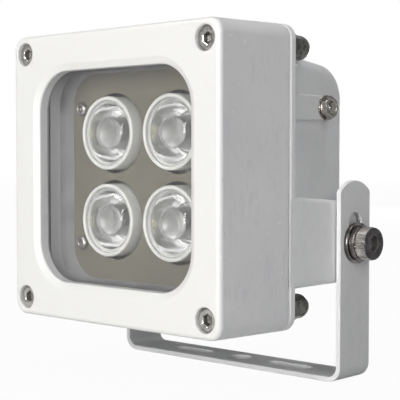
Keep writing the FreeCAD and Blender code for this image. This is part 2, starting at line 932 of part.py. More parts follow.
def driver_bridge():
    """Flat rectifier bridge above the choke, one corner notched."""
    x = driver_screw_x / 2 - bridge_width / 2
    bottom = driver_z + choke_height / 2 + bridge_gap
    y = driver_front - bridge_depth
    block = Part.makeBox(bridge_width, bridge_depth, bridge_height, Vector(x, y, bottom))
    corner = Vector(x, y, bottom)
    along_x = corner + Vector(bridge_notch, 0, 0)
    along_y = corner + Vector(0, bridge_notch, 0)
    notch = Part.makePolygon([corner, along_x, along_y, corner])
    return block.cut(Part.Face(notch).extrude(Vector(0, 0, bridge_height)))


def terminal_block():
    """Row of screw terminals on the lower edge of the board."""
    bottom = driver_z - driver_height / 2
    start = Vector(-terminal_width / 2, driver_front - terminal_depth, bottom)
    block = Part.makeBox(terminal_width, terminal_depth, terminal_height, start)
    pitch = terminal_width / terminal_ways
    holes = []
    for i in range(terminal_ways):
        x = start.x + pitch * (i + 0.5)
        screw_end = start.y + terminal_depth / 2
        holes.append(rod(terminal_hole_diameter / 2, x, bottom + terminal_height / 2, start.y, screw_end))
    return block.cut(holes)


def gland_body():
    """Threaded gland body with a hexagon outside and a bored neck."""
    start = Vector(0, inside_back - locknut_height, pivot_height)
    through = gland_face - start.y
    top = through + gland_flange_height + gland_neck_height
    thread = gland_thread_diameter / 2
    neck = gland_neck_diameter / 2
    bore = gland_bore_diameter / 2
    steps = [
        (bore, 0),
        (thread, 0),
        (thread, through),
        (neck, through),
        (neck, top),
        (bore, top),
    ]
    tube = turned(steps, start, BACK)
    hexagon = hex_bar(gland_flats, gland_flange_height, Vector(0, gland_face, pivot_height), BACK)
    return tube.fuse(hexagon.cut(rod(bore, 0, pivot_height, gland_face, gland_face + gland_flange_height)))


def gland_locknut():
    start = Vector(0, inside_back - locknut_height, pivot_height)
    nut = hex_bar(locknut_flats, locknut_height, start, BACK)
    return nut.cut(rod(gland_thread_diameter / 2, 0, pivot_height, start.y, inside_back))


def gland_seal():
    start = Vector(0, gland_face + gland_flange_height + gland_neck_height, pivot_height)
    return ring(gland_seal_diameter, gland_seal_bore_diameter, gland_seal_height, start, BACK)


def gland_cap():
    """Domed clamping cap, hexagonal at its foot."""
    start = Vector(0, gland_face + gland_flange_height, pivot_height)
    outer = gland_flats / 2
    hole = gland_cap_hole_diameter / 2
    neck = gland_neck_diameter / 2
    round_start = gland_cap_height - gland_cap_edge_radius
    flat_radius = outer - gland_cap_edge_radius
    slope = gland_cap_edge_radius * math.sin(math.radians(45))
    edge = ((flat_radius + slope, round_start + slope), (flat_radius, gland_cap_height))
    solid = turned([(0, 0), (outer, 0), (outer, round_start), edge, (0, gland_cap_height)], start, BACK)
    grip = hex_bar(gland_flats, gland_cap_height / 2, start, BACK)
    seal_end = gland_neck_height + gland_seal_height
    inside = turned([(0, 0), (neck, 0), (neck, seal_end), (0, seal_end)], start, BACK)
    return solid.fuse(grip).cut([inside, rod(hole, 0, pivot_height, start.y, start.y + gland_cap_height)])


def flat_washer(side):
    start = Vector(side * (arm_outside + washer_gap), 0, pivot_height)
    hole = pivot_bolt_diameter + 2 * washer_hole_clearance
    return ring(flat_washer_diameter, hole, flat_washer_thickness, start, Vector(side, 0, 0))


def spring_washer(side):
    """Split spring washer, its ends cut on a slant."""
    start = Vector(side * (arm_outside + washer_gap + flat_washer_thickness), 0, pivot_height)
    hole = pivot_bolt_diameter + 2 * washer_hole_clearance
    washer = ring(spring_washer_diameter, hole, spring_washer_thickness, start, Vector(side, 0, 0))
    radius = spring_washer_diameter / 2
    split = Part.makeBox(3 * spring_washer_thickness, spring_washer_split, radius + 1)
    split.translate(Vector(-1.5 * spring_washer_thickness, -spring_washer_split / 2, 0))
    split.rotate(Vector(), UP, 60)
    split.translate(start + Vector(side * spring_washer_thickness / 2, 0, 0))
    return washer.cut(split)


def pivot_bolt(side):
    """Socket-head pivot bolt through the arm's slot into the block."""
    seat = arm_outside + washer_gap + flat_washer_thickness + spring_washer_thickness
    tip = side_x - pivot_bore_depth + pivot_bolt_end_gap
    return socket_screw(
        pivot_bolt_diameter,
        pivot_head_diameter,
        pivot_head_height,
        pivot_socket_flats,
        pivot_socket_depth,
        seat - tip,
        Vector(side * (seat + pivot_head_height), 0, pivot_height),
        Vector(-side, 0, 0),
        pivot_head_chamfer,
    )


def all_pieces():
    """Every node's name and shape."""
    pieces = {
        "bracket": bracket(),
        "front_housing": front_housing(),
        "window_gasket": window_gasket(),
        "window_glass": window_glass(),
        "glass_frame": glass_frame(),
        "mask_plate": mask_plate(),
        "mask_screws": mask_screws(),
        "standoffs": standoffs(),
        "led_board": led_board(),
        "heat_plate": heat_plate(),
        "heat_plate_screws": heat_plate_screws(),
        "rear_gasket": rear_gasket(),
        "rear_casting": rear_casting(),
        "corner_screws": corner_screws(),
        "corner_washers": corner_washers(),
        "corner_nuts": corner_nuts(),
        "earth_stud": earth_stud(),
        "earth_washer": earth_washer(),
        "earth_nut": earth_nut(),
        "driver_board": driver_board(),
        "driver_screws": driver_screws(),
        "driver_capacitors": driver_capacitors(),
        "driver_choke": driver_choke(),
        "driver_bridge": driver_bridge(),
        "terminal_block": terminal_block(),
        "gland_body": gland_body(),
        "gland_locknut": gland_locknut(),
        "gland_seal": gland_seal(),
        "gland_cap": gland_cap(),
    }
    for place, (x, z) in lens_places.items():
        pieces["lens_holder_" + place] = lens_holder(x, z)
        pieces["lens_" + place] = lens(x, z)
        pieces["emitter_" + place] = emitter(x, z)
    for name, side in (("left", -1), ("right", 1)):
        pieces["flat_washer_" + name] = flat_washer(side)
        pieces["spring_washer_" + name] = spring_washer(side)
        pieces["pivot_bolt_" + name] = pivot_bolt(side)
    return pieces


os.makedirs("parts", exist_ok=True)
for name, shape in all_pieces().items():
    shape.exportStep("parts/" + name + ".step")
    print(name, len(shape.Solids), shape.isValid(), round(shape.Volume, 1))
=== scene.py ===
import math

import bmesh
import bpy
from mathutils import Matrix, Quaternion, Vector


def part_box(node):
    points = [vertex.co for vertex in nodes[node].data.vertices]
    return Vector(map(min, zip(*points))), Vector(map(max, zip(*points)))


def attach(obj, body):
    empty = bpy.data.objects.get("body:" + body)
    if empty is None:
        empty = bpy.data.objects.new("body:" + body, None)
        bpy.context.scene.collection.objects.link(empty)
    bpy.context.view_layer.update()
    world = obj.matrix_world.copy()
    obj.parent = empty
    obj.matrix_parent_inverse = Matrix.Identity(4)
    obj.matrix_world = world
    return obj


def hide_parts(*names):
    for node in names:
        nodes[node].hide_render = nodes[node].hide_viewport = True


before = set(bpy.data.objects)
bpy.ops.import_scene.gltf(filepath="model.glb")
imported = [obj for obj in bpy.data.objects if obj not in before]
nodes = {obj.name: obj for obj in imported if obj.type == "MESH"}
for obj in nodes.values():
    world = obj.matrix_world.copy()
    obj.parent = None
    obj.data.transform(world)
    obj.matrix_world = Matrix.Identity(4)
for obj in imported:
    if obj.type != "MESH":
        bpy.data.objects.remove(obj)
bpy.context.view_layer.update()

MM = 0.001
LENS_PLACES = ("upper_left", "upper_right", "lower_left", "lower_right")
SIDES = {"left": -1, "right": 1}
FRONT = Vector((0, -1, 0))
BACK = Vector((0, 1, 0))
RIGHT = Vector((1, 0, 0))
UP = Vector((0, 0, 1))


# Shader maths

EVENLY = (1.0, 1.0, 1.0)
SEEN_IN_GLOSS = 0.45
# The Mix node's sockets for colours
MIX_FIRST = 6
MIX_SECOND = 7
MIX_COLOUR = 2


class Reading:
    """A value in a finish. Arithmetic on it adds the Math nodes."""

    def __init__(self, owner, socket):
        self.owner = owner
        self.socket = socket

    def worked(self, operation, *values, clamp=False):
        settings = {"operation": operation, "use_clamp": clamp}
        return self.owner.node("ShaderNodeMath", settings, dict(enumerate(values)))

    def __add__(self, other):
        return self.worked("ADD", self, other)

    def __radd__(self, other):
        return self.worked("ADD", other, self)

    def __sub__(self, other):
        return self.worked("SUBTRACT", self, other)

    def __rsub__(self, other):
        return self.worked("SUBTRACT", other, self)

    def __mul__(self, other):
        return self.worked("MULTIPLY", self, other)

    def __rmul__(self, other):
        return self.worked("MULTIPLY", other, self)

    def __truediv__(self, other):
        return self.worked("DIVIDE", self, other)

    def held(self):
        """The value kept between 0 and 1."""
        return self.worked("ADD", self, 0.0, clamp=True)

    def above(self, low, high):
        """0 below low, 1 above high, straight between them."""
        return ((self - low) / (high - low)).held()


class Workings:
    """The nodes of a finish or of the world."""

    def __init__(self, tree):
        self.tree = tree

    def join(self, value, socket):
        if isinstance(value, Reading):
            self.tree.links.new(value.socket, socket)
        else:
            socket.default_value = value

    def node(self, kind, settings=None, sockets=None, output=0):
        """Adds a node: its settings first, then the values or links of its sockets."""
        made = self.tree.nodes.new(kind)
        for key, value in (settings or {}).items():
            setattr(made, key, value)
        for key, value in (sockets or {}).items():
            self.join(value, made.inputs[key])
        return Reading(self, made.outputs[output])

    def light_path(self, output):
        return self.node("ShaderNodeLightPath", output=output)

    def looked_at(self):
        """1 where the camera looks, also through clear pieces, less in gloss, 0 for falling light."""
        names = ("Is Camera Ray", "Is Glossy Ray", "Is Transmission Ray", "Diffuse Depth")
        camera, glossy, through, scattered = (self.light_path(name) for name in names)
        return (camera + glossy * SEEN_IN_GLOSS + through).held() * (1 - scattered).held()


class Finish(Workings):
    """One material: a Principled shader and what drives it."""

    def __init__(self, name, colour, **constants):
        self.material = bpy.data.materials.new(name)
        self.material.use_nodes = True
        super().__init__(self.material.node_tree)
        self.shader = self.tree.nodes["Principled BSDF"]
        self.output = self.tree.nodes["Material Output"]
        self.shader.inputs["Base Color"].default_value = (*colour, 1.0)
        for socket, value in constants.items():
            self.feed(socket.replace("_", " ").title().replace("Ior", "IOR"), value)

    def spot(self, stretch=EVENLY):
        """The place on the piece, in metres, stretched along its axes."""
        place = self.node("ShaderNodeTexCoord", output="Object")
        sockets = {"Vector": place, "Scale": stretch}
        return self.node("ShaderNodeMapping", {"vector_type": "POINT"}, sockets)

    def facing(self, axis):
        """How squarely the surface faces along an axis of the object, either way: 0 to 1."""
        normal = self.node("ShaderNodeTexCoord", output="Normal")
        along = self.node("ShaderNodeSeparateXYZ", None, {"Vector": normal}, output=axis)
        return along.worked("ABSOLUTE", along)

    def beside(self):
        """0 where the surface faces the front or the back, 1 where it faces out to a side."""
        return 1 - self.facing("Y").above(0.3, 0.9)

    def noise(self, scale, detail, roughness=0.5, stretch=EVENLY):
        sockets = {"Vector": self.spot(stretch), "Scale": scale, "Detail": detail, "Roughness": roughness}
        return self.node("ShaderNodeTexNoise", None, sockets)

    def blend(self, factor, first, second):
        """A colour between two. The first may be one that is already blended."""
        first = first if isinstance(first, Reading) else (*first, 1.0)
        sockets = {0: factor, MIX_FIRST: first, MIX_SECOND: (*second, 1.0)}
        return self.node("ShaderNodeMix", {"data_type": "RGBA"}, sockets, output=MIX_COLOUR)

    def feed(self, socket, value):
        self.join(value, self.shader.inputs[socket])

    def bumped(self, height, depth, strength):
        sockets = {"Height": height, "Distance": depth, "Strength": strength}
        self.feed("Normal", self.node("ShaderNodeBump", None, sockets))

    def gives_way(self, part, other):
        """Shows another shader instead of this finish, by its part, 0 to 1."""
        own = Reading(self, self.shader.outputs[0])
        mixed = self.node("ShaderNodeMixShader", None, {0: part, 1: own, 2: other})
        self.join(mixed, self.output.inputs["Surface"])

    def lets_light_through(self, tint):
        """Light that falls on the surface goes on to what lies behind it."""
        clear = self.node("ShaderNodeBsdfTransparent", None, {"Color": (*tint, 1.0)})
        falling = self.light_path("Is Shadow Ray") + self.light_path("Diffuse Depth")
        self.gives_way(falling.held(), clear)


def seen(red, green=None, blue=None):
    """A colour as it looks on a screen, 0 to 255, as the shader's own values."""
    green = red if green is None else green
    blue = green if blue is None else blue
    return tuple(((v / 255 + 0.055) / 1.055) ** 2.4 for v in (red, green, blue))


# Finishes

PAINT_UPRIGHT = (1.0, 1.0, 0.08)
WRINKLE_UPRIGHT = (1.0, 1.0, 0.32)
SCRATCHED_ALONG = (0.08, 1.0, 1.0)


def sprayed_paint(name, colour, darker, roughness, wrinkle=0.00009, gloss=0.5):
    """White paint: fine orange peel and faint clouds, with short upright wrinkles on the sides, and
    painted shade that darkens the sides.
    """
    paint = Finish(name, colour, roughness=roughness, specular_ior_level=gloss)
    beside = paint.beside()
    clouds = paint.noise(24, detail=3)
    streaks = paint.noise(90, detail=4, stretch=PAINT_UPRIGHT)
    wrinkles = paint.noise(560, detail=3, roughness=0.55, stretch=WRINKLE_UPRIGHT)
    pits = paint.noise(420, detail=1).above(0.7, 0.78)
    patches = paint.noise(60, detail=1).above(0.45, 0.65)
    specks = paint.noise(700, detail=1).above(0.74, 0.77) * beside
    peel = paint.noise(300, detail=2) * 0.4
    # Clouds darken the paint a little everywhere and more on the sides: partly mottle, partly painted
    # shade of the sides.
    cloud_mottle_and_side_shade = clouds.above(0.4, 0.8) * (beside * 0.3 + 0.05)
    # On the sides only, streaks darken the paint, and where the wrinkle bumps rise it is darkened as
    # painted shade of the wrinkles.
    streaks_and_wrinkle_shade = (streaks.above(0.45, 0.8) * 0.12 + wrinkles.above(0.5, 0.7) * patches * 0.4) * beside
    # Painted shade: the sides blend 0.6 of the way to the darker colour, and their pits are darkened as
    # well.
    tone = (cloud_mottle_and_side_shade + streaks_and_wrinkle_shade + beside * 0.6 + pits * 0.2 * beside - specks).held()
    paint.feed("Base Color", paint.blend(tone, colour, darker))
    paint.feed("Roughness", roughness + (clouds - 0.5) * 0.1)
    paint.bumped(wrinkles * (beside * 0.85 + 0.15) + peel - pits * 0.3, wrinkle, 0.8)
    return paint.material


def metal(name, colour, darker, roughness, metallic=1.0):
    """Turned or rolled metal with fine scratches and some tarnish."""
    steel = Finish(name, colour, metallic=metallic, roughness=roughness)
    tarnish = steel.noise(350, detail=4, roughness=0.65)
    scratches = steel.noise(1500, detail=2, stretch=SCRATCHED_ALONG)
    steel.feed("Base Color", steel.blend(tarnish.above(0.4, 0.7), colour, darker))
    steel.feed("Roughness", roughness + (tarnish - 0.5) * 0.25)
    steel.bumped(scratches + tarnish, 0.00003, 0.5)
    return steel.material


def sheet_metal(name, colour, darker, bare):
    """Coated sheet with a faint cloudiness, bare and bright at its cut edges."""
    sheet = Finish(name, colour, roughness=0.55, specular_ior_level=0.3)
    clouds = sheet.noise(40, detail=4)
    coated = sheet.blend(clouds.above(0.35, 0.7), colour, darker)
    sheet.feed("Base Color", sheet.blend(sheet.beside(), coated, bare))
    sheet.feed("Roughness", 0.5 + clouds * 0.1)
    sheet.bumped(sheet.noise(900, detail=3), 0.00002, 0.4)
    return sheet.material


def frame_coat_with_painted_light(name, colour, darker, painted_lit_grey):
    """Grey coating, with painted light: a paler grey where the frame stands upright beside the glass."""
    coat = Finish(name, colour, roughness=0.6, specular_ior_level=0.0)
    # Painted light: walls that face sideways, and not the front, take the paler grey.
    painted_light_on_walls = coat.facing("X").above(0.5, 1.0) * (1 - coat.facing("Y").above(0.08, 0.26))
    clouds = coat.noise(90, detail=3)
    under = coat.blend(clouds.above(0.35, 0.75), colour, darker)
    coat.feed("Base Color", coat.blend(painted_light_on_walls, under, painted_lit_grey))
    coat.feed("Roughness", 0.5 + clouds * 0.2)
    coat.bumped(coat.noise(700, detail=2), 0.00003, 0.3)
    return coat.material


def moulded_plastic(name, colour, darker, roughness, grain=0.2, gloss=0.5):
    """Injection-moulded plastic with a faint spark texture."""
    plastic = Finish(name, colour, roughness=roughness, specular_ior_level=gloss)
    mottle = plastic.noise(120, detail=2)
    plastic.feed("Base Color", plastic.blend(mottle.above(0.4, 0.7), colour, darker))
    plastic.feed("Roughness", roughness + (mottle - 0.5) * 0.12)
    plastic.bumped(plastic.noise(1800, detail=1), 0.00004, grain)
    return plastic.material


def moulded_rubber(name, colour):
    rubber = Finish(name, colour, roughness=0.7)
    dust = rubber.noise(500, detail=3)
    rubber.feed("Roughness", 0.6 + dust * 0.2)
    rubber.bumped(dust, 0.00008, 0.4)
    return rubber.material


GLASS_TINT = (0.985, 0.985, 0.975)
LIGHT_THROUGH_GLASS = (0.97, 0.97, 0.965)
ACRYLIC_TINT = (0.93, 0.93, 0.94)
FROSTED_TINT = (0.97, 0.97, 0.97)
LIGHT_THROUGH_LENS = (0.9, 0.9, 0.9)


def window_pane(name):
    """Flat float glass, very faintly hazy."""
    glass = Finish(name, GLASS_TINT, roughness=0.0, transmission_weight=1.0, ior=1.5)
    haze = glass.noise(40, detail=3)
    glass.feed("Roughness", haze.above(0.5, 0.9) * 0.02)
    glass.lets_light_through(LIGHT_THROUGH_GLASS)
    return glass.material


def lens_acrylic(name, tint, haze):
    """Clear acrylic of the lenses, with the soft ripple of its moulding."""
    acrylic = Finish(name, tint, roughness=0.0, transmission_weight=1.0, ior=1.49)
    flow = acrylic.noise(160, detail=1)
    acrylic.feed("Roughness", haze + flow.above(0.4, 0.9) * 0.05)
    acrylic.bumped(flow, 0.00003, 0.3)
    acrylic.lets_light_through(LIGHT_THROUGH_LENS)
    return acrylic.material


def phosphor(name):
    """Pale phosphor under the emitter's dome."""
    pale = seen(222, 216, 186)
    deep = seen(196, 186, 150)
    grain = Finish(name, seen(214, 208, 178), roughness=0.35)
    speckle = grain.noise(3000, detail=2)
    grain.feed("Base Color", grain.blend(speckle.above(0.4, 0.7), pale, deep))
    grain.bumped(speckle, 0.00003, 0.4)
    return grain.material


def circuit_board(name, colour, track):
    """Solder mask over printed tracks."""
    mask = Finish(name, colour, roughness=0.35)
    sockets = {"Vector": mask.spot(), "Scale": 90.0, "Mortar Size": 0.06}
    copper = mask.node("ShaderNodeTexBrick", {"offset": 0.35, "squash": 1.0}, sockets, output="Fac")
    mask.feed("Base Color", mask.blend(copper, colour, track))
    mask.bumped(copper, 0.00005, 0.6)
    return mask.material


# Recipes: what the maker of a finish takes after its name

# A paint's second colour is the painted shade of its sides, and also the tone of its clouds, streaks and
# pits.
PAINTS = {
    "housing_white": (seen(246, 245, 241), seen(222, 222, 224), 0.32),
    "casting_white": (seen(246, 246, 246), seen(228, 228, 229), 0.4),
    "bracket_white": (seen(237, 237, 236), seen(218, 218, 219), 0.6, 0.00004, 0.0),
}
METALS = {
    "bright_steel": (seen(214, 211, 206), seen(150, 147, 142), 0.2),
    "dark_face": (seen(78, 76, 77), seen(48, 46, 48), 0.16, 0.7),
    # The socket finish is darker than the steel of the screw heads and the bolt's knurl: painted shade
    # inside the sockets.
    "socket_painted_shade": (seen(156, 153, 149), seen(100, 97, 94), 0.25, 0.5),
    "nut_steel": (seen(112, 112, 109), seen(54, 54, 53), 0.16),
    "earth_steel": (seen(172, 168, 163), seen(104, 100, 96), 0.18),
    "knurled_steel": (seen(218, 213, 209), seen(158, 152, 148), 0.22),
    "washer_steel": (seen(142, 137, 135), seen(70, 67, 66), 0.16),
    "heat_metal": (seen(200, 200, 202), seen(170, 170, 172), 0.4),
}
PLASTICS = {
    "holder_white": (seen(247, 247, 244), seen(240, 240, 237), 0.4, 0.2, 0.3),
    "sleeve_black": (seen(38, 38, 42), seen(26, 26, 28), 0.25),
    "choke_yellow": (seen(216, 190, 96), seen(190, 160, 70), 0.4),
    "block_black": (seen(40), seen(28), 0.45),
    "terminal_green": (seen(64, 140, 92), seen(50, 118, 76), 0.45),
    "gland_grey": (seen(170, 172, 172), seen(150, 152, 152), 0.45, 0.4),
}
RUBBERS = {"gasket_black": (seen(40),), "gasket_grey": (seen(176, 176, 178),)}
BOARDS = {
    "board_white": (seen(150, 152, 149), seen(124, 126, 123)),
    "board_green": (seen(30, 92, 58), seen(58, 128, 84)),
}
ACRYLICS = {
    "acrylic": (ACRYLIC_TINT, 0.0),
    "acrylic_back": (ACRYLIC_TINT, 0.1),
    "acrylic_pocket": (ACRYLIC_TINT, 0.28),
    "acrylic_frosted": (FROSTED_TINT, 0.6),
}
# The third frame grey is painted light on the frame's upright side walls.
FRAME_GREYS = (seen(174, 174, 178), seen(150, 150, 154), seen(226, 226, 230))
MASK_OLIVES = (seen(124, 120, 107), seen(114, 110, 98), seen(226, 223, 216))
FINISHES = {
    "frame_grey": frame_coat_with_painted_light("frame_grey", *FRAME_GREYS),
    "mask_olive": sheet_metal("mask_olive", *MASK_OLIVES),
    "pane": window_pane("pane"),
    "phosphor": phosphor("phosphor"),
}
KINDS = (
    (sprayed_paint, PAINTS), (metal, METALS), (moulded_plastic, PLASTICS),
    (moulded_rubber, RUBBERS), (circuit_board, BOARDS), (lens_acrylic, ACRYLICS),
)
for kind, recipes in KINDS:
    for name, recipe in recipes.items():
        FINISHES[name] = kind(name, *recipe)

NODE_FINISHES = {
    "bracket": "bracket_white",
    "front_housing": "housing_white",
    "rear_casting": "casting_white",
    "window_gasket": "gasket_grey",
    "rear_gasket": "gasket_grey",
    "glass_frame": "frame_grey",
    "mask_plate": "mask_olive",
    "mask_screws": "bright_steel",
    "standoffs": "bright_steel",
    "led_board": "board_white",
    "heat_plate": "heat_metal",
    "heat_plate_screws": "bright_steel",
    "corner_screws": "bright_steel",
    "corner_washers": "nut_steel",
    "corner_nuts": "nut_steel",
    "earth_stud": "earth_steel",
    "earth_washer": "earth_steel",
    "earth_nut": "earth_steel",
    "driver_board": "board_green",
    "driver_screws": "bright_steel",
    "driver_capacitors": "sleeve_black",
    "driver_choke": "choke_yellow",
    "driver_bridge": "block_black",
    "terminal_block": "terminal_green",
    "gland_body": "gland_grey",
    "gland_locknut": "gland_grey",
    "gland_cap": "gland_grey",
    "gland_seal": "gasket_black",
}
for place in LENS_PLACES:
    NODE_FINISHES["lens_holder_" + place] = "holder_white"
    NODE_FINISHES["lens_" + place] = "acrylic"
    NODE_FINISHES["emitter_" + place] = "phosphor"
for side in SIDES:
    NODE_FINISHES["pivot_bolt_" + side] = "knurled_steel"
    NODE_FINISHES["spring_washer_" + side] = "washer_steel"
    NODE_FINISHES["flat_washer_" + side] = "washer_steel"

for name, finish in NODE_FINISHES.items():
    nodes[name].data.materials.clear()
    nodes[name].data.materials.append(FINISHES[finish])


# Turned and six-sided pieces, in mm

PANE_SEGMENTS = 256
BOLT_SEGMENTS = 208
WASHER_SEGMENTS = 96
SCREW_SEGMENTS = 96
LENS_SEGMENTS = 128
SMALL_SEGMENTS = 72


def span(node):
    """Lowest and highest corner of a CAD node, in mm."""
    low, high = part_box(node)
    return Vector(low) / MM, Vector(high) / MM


def corners_of(node, piece_radius):
    """Middles (x, z) of four like pieces at the corners of a node's box, upper ones first."""
    low, high = span(node)
    across = high.x - piece_radius
    return [(x, z) for z in (high.z - piece_radius, low.z + piece_radius) for x in (-across, across)]


def circle(radius):
    return lambda angle: radius


def hexagon(flats, widest=100.0):
    """Six-sided outline with a corner upwards, turned off at the widest radius."""
    def outline(angle):
        off_flat = angle % (math.pi / 3) - math.pi / 6
        return min(flats / 2 / math.cos(off_flat), widest)
    return outline


def rounded_square(half, radius):
    """Square outline with rounded corners, its sides upright and level."""
    reach = (half - radius) * math.sqrt(2)

    def outline(angle):
        off_corner = abs(angle % (math.pi / 2) - math.pi / 4)
        off_axis = math.pi / 4 - off_corner
        if half * math.tan(off_axis) <= half - radius:
            return half / math.cos(off_axis)
        return reach * math.cos(off_corner) + math.sqrt(radius ** 2 - (reach * math.sin(off_corner)) ** 2)
    return outline


def knurl(radius, teeth, depth):
    """Straight knurling: grooves along the axis."""
    def outline(angle):
        place = angle * teeth / (2 * math.pi) % 1
        return radius - depth * abs(2 * place - 1)
    return outline


THREAD_DEPTH = 0.61
RINGS_PER_TURN = 5


def thread_outline(crest, root, pitch, height):
    def outline(angle):
        place = (height / pitch - angle / (2 * math.pi)) % 1
        return root + (crest - root) * abs(2 * place - 1)
    return outline


def threaded(crest, pitch, start, end):
    """Rings of a thread between two heights."""
    root = crest - THREAD_DEPTH * pitch
    count = round((end - start) / pitch * RINGS_PER_TURN)
    heights = [start + (end - start) * i / count for i in range(count + 1)]
    return [(thread_outline(crest, root, pitch, height), height) for height in heights]


def eased(steps, cuts=5):
    """Rings of a turned outline. A step is (radius, height), or (radius, height, rounding)."""
    rings = []
    for i, step in enumerate(steps):
        here = Vector(step[:2])
        if len(step) == 2:
            rings.append((circle(here.x), here.y))
            continue
        before = (Vector(steps[i - 1][:2]) - here).normalized() * step[2]
        after = (Vector(steps[(i + 1) % len(steps)][:2]) - here).normalized() * step[2]
        for j in range(cuts + 1):
            t = j / cuts
            spot = here + before * (1 - t) ** 2 + after * t ** 2
            rings.append((circle(spot.x), spot.y))
    return rings


def cap(radius, foot, height, cuts=14):
    """Rings of a ball-shaped cap, from its foot to its top on the axis."""
    ball = (radius ** 2 + height ** 2) / (2 * height)
    reach = math.asin(radius / ball)
    rings = []
    for i in range(cuts):
        angle = reach * (1 - i / cuts)
        rings.append((circle(ball * math.sin(angle)), foot + height - ball * (1 - math.cos(angle))))
    return rings + [(circle(0), foot + height)]


class Turning:
    """A mesh of rings about an axis, from a start point in mm."""

    def __init__(self, start, direction, segments):
        self.start = Vector(start)
        self.axis = Vector(direction)
        self.side = self.axis.cross(UP)
        self.segments = segments
        self.mesh = bmesh.new()
        self.rings = []

    def ring(self, outline, height):
        middle = self.start + self.axis * height
        if outline(0) == 0:
            return [self.mesh.verts.new(middle * MM)]
        made = []
        for i in range(self.segments):
            angle = 2 * math.pi * i / self.segments
            out = self.side * math.sin(angle) + UP * math.cos(angle)
            made.append(self.mesh.verts.new((middle + out * outline(angle)) * MM))
        return made

    def skin(self, first, second, finish):
        for i in range(self.segments):
            after = (i + 1) % self.segments
            if len(first) == 1:
                corners = (first[0], second[i], second[after])
            elif len(second) == 1:
                corners = (first[i], second[0], first[after])
            else:
                corners = (first[i], second[i], second[after], first[after])
            self.mesh.faces.new(corners).material_index = finish

    def add(self, rings, finish=0):
        for outline, height in rings:
            made = self.ring(outline, height)
            if self.rings:
                self.skin(self.rings[-1], made, finish)
            self.rings.append(made)
        return self

    def looped(self):
        """Joins the last ring to the first, for a piece with a hole through it."""
        self.skin(self.rings[-1], self.rings[0], 0)
        return self


def settle(name, mesh, body, finishes, stands_for, sharp=32):
    """Makes the piece, gives it its finishes and its body, and hides the CAD node that it stands for."""
    bmesh.ops.recalc_face_normals(mesh, faces=mesh.faces)
    data = bpy.data.meshes.new(name)
    mesh.to_mesh(data)
    mesh.free()
    data.shade_smooth()
    data.set_sharp_from_angle(angle=math.radians(sharp))
    for finish in finishes:
        data.materials.append(FINISHES[finish])
    piece = bpy.data.objects.new(name, data)
    bpy.context.scene.collection.objects.link(piece)
    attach(piece, body)
    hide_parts(stands_for)


# Window

PANE_CORNER = 16.0
PANE_EASE = 0.4
PANE_PLAY = 0.03


def window_pane_glass():
    """Flat pane with ground edges, a hair clear of the gasket and the frame."""
    low, high = span("window_glass")
    half = (high.x - low.x) / 2
    thick = high.y - low.y
    full = rounded_square(half, PANE_CORNER)
    eased_edge = rounded_square(half - PANE_EASE, PANE_CORNER - PANE_EASE)
    front = PANE_PLAY
    back = thick - PANE_PLAY
    pane = Turning(((low.x + high.x) / 2, low.y, (low.z + high.z) / 2), BACK, PANE_SEGMENTS)
    pane.add([(circle(0), front), (eased_edge, front), (full, front + PANE_EASE)])
    pane.add([(full, back - PANE_EASE), (eased_edge, back), (circle(0), back)])
    settle("window_pane", pane.mesh, "lamp", ("pane",), "window_glass")


window_pane_glass()


# Pivot bolts and washers

BOLT_HEAD = 6.5
BOLT_HEAD_HEIGHT = 5.3
BOLT_FACE = BOLT_HEAD - 0.25
BOLT_SOCKET_FLATS = 6.0
BOLT_SOCKET_DEPTH = 3.2
BOLT_SHANK = 4.0
BOLT_PITCH = 1.25
KNURL_TEETH = 48
KNURL_DEPTH = 0.5
BOLT_FINISHES = ("knurled_steel", "dark_face", "socket_painted_shade")
# Places in BOLT_FINISHES
DARK_FACE = 1
SOCKET_PAINTED_SHADE = 2

WASHER_HOLE = BOLT_SHANK + 0.2


def pivot_bolt(side, sign):
    """Low socket head with a straight knurl, then a threaded shank."""
    low, high = span("pivot_bolt_" + side)
    face = high.x if sign > 0 else low.x
    tip = high.x - low.x
    seat = BOLT_HEAD_HEIGHT
    socket = hexagon(BOLT_SOCKET_FLATS)
    grip = knurl(BOLT_HEAD, KNURL_TEETH, KNURL_DEPTH)
    bolt = Turning((face, 0, (low.z + high.z) / 2), RIGHT * -sign, BOLT_SEGMENTS)
    bolt.add([(circle(0), BOLT_SOCKET_DEPTH + 1.0)], SOCKET_PAINTED_SHADE)
    bolt.add([(socket, BOLT_SOCKET_DEPTH), (socket, 0.35)], SOCKET_PAINTED_SHADE)
    dished = [(3.75, 0.12), (4.9, 0.12), (5.05, 0.0)]
    bolt.add(eased(dished + [(BOLT_FACE, 0.0, 0.5), (BOLT_FACE, 0.6)]), DARK_FACE)
    bolt.add([(grip, 0.95), (grip, seat - 0.5)])
    bolt.add(eased([(BOLT_HEAD - 0.3, seat - 0.25), (BOLT_HEAD - 0.6, seat)]))
    bolt.add(eased([(BOLT_SHANK, seat), (BOLT_SHANK, seat + 5.5)]))
    bolt.add(threaded(BOLT_SHANK, BOLT_PITCH, seat + 6.0, tip - 1.0))
    bolt.add(eased([(BOLT_SHANK - 0.9, tip), (0, tip)]))
    settle("bolt_" + side, bolt.mesh, "pivots", BOLT_FINISHES, "pivot_bolt_" + side)


def washer_room(node, sign):
    """Where a washer of the pivots starts, its outer radius and its thickness."""
    low, high = span(node)
    start = Vector((low.x if sign > 0 else high.x, 0, (low.z + high.z) / 2))
    return start, (high.z - low.z) / 2, high.x - low.x


